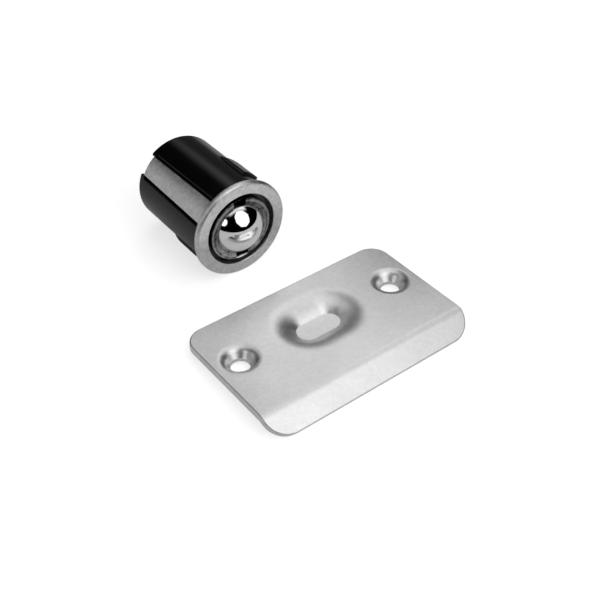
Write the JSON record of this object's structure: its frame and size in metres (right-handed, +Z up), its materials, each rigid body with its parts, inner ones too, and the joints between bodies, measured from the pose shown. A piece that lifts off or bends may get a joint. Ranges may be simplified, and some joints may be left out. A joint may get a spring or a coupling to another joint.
{
  "type": "ball catch",
  "caption": "Adjustable door ball catch: a strapped barrel with a sprung ball in a screw-in sleeve, and a dished strike plate with a bent lip and countersunk holes.",
  "frame": {"origin": "On the table the two pieces lie on, in the middle of the box round them both.", "axes": "+Z up; +X along the strike plate's length; +Y from the strike's lip back to the barrel's rear end, along the barrel to within 2.3 degrees."},
  "size_m": [0.0572, 0.0804, 0.0252],
  "materials": {
    "flange_metal": "satin",
    "body_plastic": "semi-gloss",
    "sleeve_metal": "satin",
    "ball_steel": "polished",
    "spring_steel": "bright wire",
    "plug_metal": "turned",
    "strike_metal": "satin"
  },
  "bodies": {
    "housing": {"flange_shell": "flange_metal", "barrel_body": "body_plastic", "strike_plate": "strike_metal"},
    "cartridge": {"spring_plug": "plug_metal", "spring": "spring_steel"},
    "sleeve": {"adjusting_sleeve": "sleeve_metal"},
    "ball": {"ball": "ball_steel"}
  },
  "joints": [
    {"name": "sleeve_advance", "type": "slide", "parent": "housing", "child": "cartridge", "axis": [0, -0.9992, 0.0406], "range_m": [-0.003, 0]},
    {"name": "sleeve_turn", "type": "hinge", "parent": "cartridge", "child": "sleeve", "pos_m": [-0.0017, 0.01036, 0.01264], "axis": [0, -0.9992, 0.0406], "range_deg": [-1080, 0]},
    {"name": "ball_press", "type": "slide", "parent": "cartridge", "child": "ball", "axis": [0, 0.9992, -0.0406], "range_m": [0, 0.0037], "stiffness_N_per_m": 1500, "springref_m": -0.001, "deforming": ["spring"]}
  ],
  "couplings": [
    {"joint": "sleeve_turn", "follows": "sleeve_advance", "rad_per_m": 6283.2}
  ]
}
